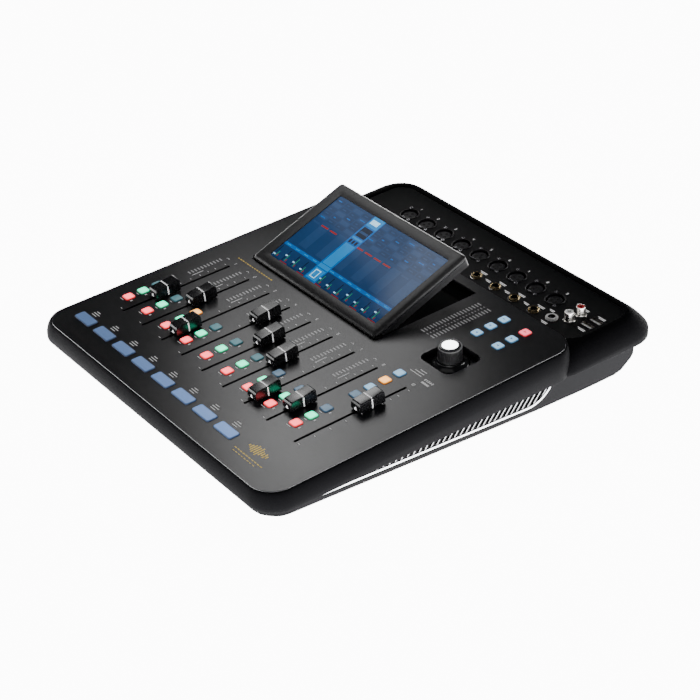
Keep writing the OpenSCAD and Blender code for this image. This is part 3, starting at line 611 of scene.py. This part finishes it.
ui = Batch()
UI_RGB = {"navy": (0.008, 0.030, 0.085), "slate": (0.007, 0.025, 0.070), "row": (0.012, 0.038, 0.10),
          "blue": (0.004, 0.085, 0.30), "cyan": (0.012, 0.17, 0.42), "ice": (0.40, 0.75, 1.0),
          "dark": (0.002, 0.008, 0.022), "red": (0.20, 0.015, 0.015), "green": (0.02, 0.18, 0.09)}
UI = list(UI_RGB)
ui_mats = [material("display_" + k, rgb, 0.12, grain=2600, bump=0.01, vary=0.12, emit=rgb,
                    emit_strength=0.75, blotch=30, spec=0.08) for k, rgb in UI_RGB.items()]
FACE = 5.6


def pane(x0, x1, y0, y1, kind, lift=0.02):
    """A pane of the picture, placed as fractions of the panel's width and height."""
    ui.bar(L0 + LCD_W * (x0 + x1) / 2, B0 + LCD_H * (y0 + y1) / 2, LCD_W * (x1 - x0), LCD_H * (y1 - y0),
           FACE - 0.1, FACE + lift, UI.index(kind))


pane(0.0, 1.0, 0.0, 1.0, "navy", 0.0)
# twelve channel columns with a grid of cells above and small faders below
COLS = 12
for c in range(COLS):
    x0, x1 = c / COLS, (c + 1) / COLS
    pane(x0 + 0.004, x1 - 0.004, 0.27, 0.62, "row" if c % 2 else "navy", 0.01)
    for r in range(5):
        y = 0.66 + 0.065 * r
        pane(x0 + 0.005, x1 - 0.005, y, y + 0.05, "slate" if (c + r) % 3 else "row", 0.01)
        pane(x0 + 0.02, x1 - 0.02 - 0.012 * ((c + r) % 3), y + 0.018, y + 0.03,
             "blue" if (c * 3 + r) % 4 == 0 else "row", 0.02)
    pane(x0 + 0.008, x1 - 0.012, 0.585, 0.605, "red" if c in (1, 2, 5, 6, 7, 8) else "row", 0.015)
    pane(x0 + 0.012, x0 + 0.018, 0.02, 0.17, "dark", 0.015)
    pane(x0 + 0.030, x0 + 0.036, 0.03, 0.10 + 0.02 * (c % 3), "green", 0.015)
    pane(x0 + 0.040, x0 + 0.046, 0.03, 0.06, "red", 0.015)
    level = 0.011 * ((c * 5) % 7)
    pane(x0 + 0.006, x0 + 0.024, 0.035 + level, 0.050 + level, "ice", 0.025)
    pane(x0 + 0.010, x1 - 0.010, 0.003, 0.014, "red" if c % 2 else "slate", 0.02)
pane(0.0, 1.0, 0.195, 0.235, "blue", 0.02)
for c in range(COLS):
    pane((c + 0.25) / COLS, (c + 0.7) / COLS, 0.208, 0.222, "cyan", 0.03)
# the chosen channel's bright column
S0, S1 = 0.335, 0.43
pane(S0 - 0.006, S1 + 0.006, 0.0, 1.0, "blue", 0.025)
pane(S0, S1, 0.86, 1.0, "cyan", 0.035)
pane(S0 + 0.01, S1 - 0.02, 0.90, 0.96, "ice", 0.045)
pane(S0 + 0.006, S1 - 0.006, 0.70, 0.84, "dark", 0.035)
pane(S0 + 0.012, S1 - 0.012, 0.75, 0.78, "row", 0.045)
pane(S0 + 0.004, S1 - 0.004, 0.66, 0.685, "cyan", 0.035)
for r in range(3):
    pane(S0 + 0.008 + 0.027 * r, S0 + 0.026 + 0.027 * r, 0.595, 0.645, "dark", 0.035)
pane(S0 + 0.006, S1 - 0.006, 0.25, 0.58, "cyan", 0.035)
pane(S0, S1, 0.19, 0.24, "cyan", 0.04)
pane(S0 + 0.004, S1 - 0.004, 0.02, 0.175, "cyan", 0.03)
pane(S0 + 0.018, S1 - 0.030, 0.045, 0.155, "ice", 0.04)
pane(S0 + 0.024, S1 - 0.036, 0.055, 0.145, "cyan", 0.045)
ui.put("screen_picture", "screen", ui_mats, frame_matrix=SCREEN, smooth=False)
slab = [screen_ring(L0 + 0.01, L1 - 0.01, B0 + 0.01, B1 - 0.01, 1.9, z) for z in (3.9, 5.45)]
put("screen_panel", *bridge(slab, cap=True), "screen", [M["gloss"]], frame_matrix=SCREEN, hide=["screen_glass"])

# ---- sockets ----
xlr, core = Batch(), Batch()
for i in range(XLR_COUNT):
    x, y = XLR_X + XLR_PITCH * i, XLR_Y
    xlr.lathe(x, y, BAY, [(9.2, -18), (9.2, -0.2), (9.4, 0.0), (9.4, 0.55), (9.15, 0.8), (8.75, 0.8),
                          (8.5, 0.5), (8.5, -16.8), (1, -16.8)], seg=40)
    core.lathe(x, y, BAY, [(6.9, -17), (6.9, -1.2), (6.6, -0.7), (5.9, -0.6), (5.6, -0.85), (0.5, -0.85)],
               seg=32)
    # three contact holes
    for a in (210, 330, 90):
        px, py = x + 3.1 * cos(radians(a)), y + 3.1 * sin(radians(a))
        core.lathe(px, py, BAY, [(1.45, -0.85), (1.45, -0.70), (1.15, -0.66), (1.15, -0.8), (0.1, -0.8)],
                   seg=14, mat=1)
    core.bar(x, y - 7.7, 4.4, 1.7, BAY - 3, BAY + 0.5, 2)
xlr.put("xlr_shells", "chassis", [M["socket"]], hide=["xlr_sockets"])
core.put("xlr_inserts", "chassis", [M["socket"], M["slot"], M["steel"]])

jacks = Batch()
NICKEL, BRASS, WHITE, BLACK = range(4)
for x, y in (*JACKS, PHONES):
    phones = (x, y) == PHONES
    # washer
    jacks.lathe(x, y, BAY, [(5.9, 0.0), (5.9, 0.35), (5.5, 0.4), (3.4, 0.4), (3.4, 0.0)], seg=36, mat=NICKEL,
                closed=True)
    # the phones jack's round white collar, or a hexagonal nut
    if phones:
        jacks.lathe(x, y, BAY, [(5.6, 0.3), (5.6, 1.5), (5.3, 1.8), (3.7, 1.8), (3.7, 0.3)], seg=36,
                    mat=WHITE, closed=True)
    else:
        jacks.lathe(x, y, BAY, [(5.4, 0.35), (5.4, 1.5), (5.0, 1.8), (3.6, 1.8), (3.6, 0.35)], seg=6,
                    mat=BRASS, closed=True)
    # bushing, and the dark lining of its bore
    jacks.lathe(x, y, BAY, [(4.5, -3), (4.5, 2.1), (4.2, 2.35), (3.5, 2.35), (3.3, 2.1), (3.3, -22)], seg=36,
                mat=WHITE if phones else BRASS)
    jacks.lathe(x, y, BAY, [(3.32, -20), (3.32, 1.9), (3.22, 1.95), (3.1, 1.9), (3.1, -19), (0.2, -19)],
                seg=28, mat=BLACK)
jacks.put("jack_bushings", "chassis", [M["nickel"], M["brass"], M["white_ring"], M["slot"]], hide=["line_jacks"])

rca = Batch()
for j, (x, y) in enumerate(RCA):
    rca.lathe(x, y, BAY, [(5.5, 0.0), (5.5, 0.7), (5.2, 1.0), (4.4, 1.0), (4.15, 1.6), (4.15, 8.2),
                          (3.9, 8.8), (3.65, 8.9), (3.55, 0.0)], seg=36, mat=0, closed=True)
    # the coloured insert round the centre hole
    rca.lathe(x, y, BAY, [(3.6, 6.0), (3.6, 8.75), (3.3, 8.95), (1.75, 8.95), (1.65, 8.7), (1.6, 7.0),
                          (0.2, 7.0)], seg=30, mat=1 + j)
rca.put("rca_barrels", "chassis", [M["nickel"], M["white_ring"], M["red_ring"]], hide=["rca_sockets"])

usb = Batch()
for x, y in USB:
    usb.bar(x, y - 0.9, 11.2, 1.9, BAY - 11.8, BAY + 0.1)
usb.put("usb_tongues", "chassis", [M["white_ring"]], smooth=False)

screws = Batch()
for i in range(XLR_COUNT):
    for s in (-1, 1):
        x, y = XLR_X + XLR_PITCH * i - s * 7.7, XLR_Y + s * 8.2
        screws.lathe(x, y, BAY, [(1.7, 0.0), (1.7, 0.45), (1.45, 0.85), (0.95, 1.0), (0.3, 1.0)], seg=22)
        for w, h in ((0.35, 1.9), (1.9, 0.35)):
            screws.bar(x, y, w, h, BAY + 0.98, BAY + 1.03, 1, turn=0.6)
screws.put("bay_screws", "chassis", [M["steel"], M["slot"]])

# numbers under the XLR sockets, and a pair of bars for each other label
LABELS = [(x, 316, 9) for x, _ in JACKS] + [(256.8, 301.5, 8), (174, 310, 7), (199.4, 310, 7), (224.6, 310, 7),
                                            (248, 319, 6), (286, 317.5, 9), (286, 341.5, 9), (268, 341, 6)]
labels = Batch()
for i in range(XLR_COUNT):
    number(labels, str(i + 1), XLR_X + XLR_PITCH * i, 346.8, 2.4, BAY, BAY + 0.04)
for x, y, w in LABELS:
    for j in range(2):
        labels.bar(x + j, y - 1.5 * j, w - 2 * j, 0.7, BAY, BAY + 0.04)
labels.put("bay_print", "chassis", [M["line"]], smooth=False)

# ---- rear sockets, in the part's own frame ----
PANEL_Y = ORIGIN_Y + 379 * cos(SLOPE) - 26
INLET_X, INLET_Z, NETWORK_X = 110, 20, 30
pins = Batch()
for dx, dz in ((-7, -2), (7, -2), (0, 3)):
    pins.add([(INLET_X + dx + sx, y, INLET_Z + dz + sz) for y in (PANEL_Y - 18, PANEL_Y - 3) for sx, sz in
              ((-1, -2), (1, -2), (1, 2), (-1, 2))], BOX_FACES)
for j in range(8):
    x = NETWORK_X - 4.2 + 1.2 * j
    pins.add([(x + sx, y, z + sz) for y, z in ((PANEL_Y - 14.5, 22.2), (PANEL_Y - 4, 23.4)) for sx, sz in
              ((-0.25, 0), (0.25, 0), (0.25, 0.3), (-0.25, 0.3))], BOX_FACES)
pins.put("rear_contacts", "chassis", [M["brass"]], frame_matrix=PART, smooth=False)

# ---- stage, light and camera ----
# a glowing white floor, bright enough to stay white; metres from here on
FLOOR_GLOW = 12
FLOOR_REACH = 4
CELLS = 8
ROW = CELLS + 1
grid = [(2 * k / CELLS - 1) * FLOOR_REACH for k in range(ROW)]
corners = [(x, y, 0) for y in grid for x in grid]
tiles = [(r * ROW + c, r * ROW + c + 1, (r + 1) * ROW + c + 1, (r + 1) * ROW + c)
         for r in range(CELLS) for c in range(CELLS)]
turn = Matrix.Rotation(radians(53.5), 4, "Z")
floor = bpy.data.meshes.new("studio_floor")
floor.from_pydata([turn @ Vector(v) for v in corners], [], tiles)
floor.materials.append(material("studio_white", (0.86, 0.86, 0.86), 0.95, grain=40, bump=0.0, vary=0.01,
                                spec=0.05, emit=(1, 1, 1), emit_strength=FLOOR_GLOW))
floor.polygons.foreach_set("use_smooth", [True] * len(floor.polygons))
floor_ob = bpy.data.objects.new("studio_floor", floor)
bpy.context.scene.collection.objects.link(floor_ob)

# white near the horizon and nearly black overhead, so that the dark paint stays dark
world = bpy.data.worlds.new("studio")
bpy.context.scene.world = world
world.use_nodes = True
wt = world.node_tree
sky = wt.nodes.new("ShaderNodeTexCoord")
axes = wt.nodes.new("ShaderNodeSeparateXYZ")
band = wt.nodes.new("ShaderNodeValToRGB")
band.color_ramp.elements[0].position = 0.04
band.color_ramp.elements[0].color = (1, 1, 1, 1)
band.color_ramp.elements[1].position = 0.22
band.color_ramp.elements[1].color = (0.006, 0.006, 0.007, 1)
wt.links.new(sky.outputs["Generated"], axes.inputs["Vector"])
wt.links.new(axes.outputs["Z"], band.inputs["Fac"])
wt.links.new(band.outputs["Color"], wt.nodes["Background"].inputs["Color"])
wt.nodes["Background"].inputs["Strength"].default_value = 5


def light(name, at, to, size, power, size_y=None):
    """A rectangular lamp at one point, aimed at another."""
    d = bpy.data.lights.new(name, "AREA")
    d.shape = "RECTANGLE"
    d.size = size
    d.size_y = size_y or size
    d.energy = power
    ob = bpy.data.objects.new(name, d)
    ob.location = at
    ob.rotation_euler = (Vector(to) - Vector(at)).to_track_quat("-Z", "Y").to_euler()
    bpy.context.scene.collection.objects.link(ob)


# the soft sheens on the deck and the bezel come from lamps where each surface mirrors the camera's view
MIRROR = Vector((-0.68, 0.48, 0.55))
NEAR = DECK @ Vector((300, 0, 0))
light("deck_sheen", NEAR + 0.7 * MIRROR, NEAR, 0.28, 0.8)
light("rear_strip", (0.5, 1.3, 0.8), (0.12, 0.1, 0.03), 0.9, 4, 0.3)
light("top_soft", (-0.1, -0.3, 1.5), (0.0, 0.0, 0.03), 0.9, 0.7)
EDGE = DECK @ Vector((185, 225, 60))
light("bezel_sheen", EDGE + 0.4 * Vector((-0.68, 0.02, 0.735)), EDGE, 0.10, 0.16)

# the photo's camera, solved from the regular grid of keys and slots: its place and axes in the deck frame
CAM_POS = DECK @ Vector((1260.09, -617.93, 871.89))
RIGHT = Vector((0.6053351, 0.79445979, -0.04902101))
DOWN = Vector((0.41592317, -0.36821848, -0.83151853))
LOOK = Vector((-0.67865848, 0.48295838, -0.5533298))
rot = Matrix.Rotation(SLOPE, 3, "X") @ Matrix((RIGHT, -DOWN, -LOOK)).transposed()
cam = bpy.data.cameras.new("photo_camera")
cam.sensor_width = 36
cam.lens = 96.854
cam.clip_end = 50
cam_ob = bpy.data.objects.new("photo_camera", cam)
cam_ob.matrix_world = Matrix.Translation(CAM_POS) @ rot.to_4x4()
bpy.context.scene.collection.objects.link(cam_ob)
bpy.context.scene.camera = cam_ob
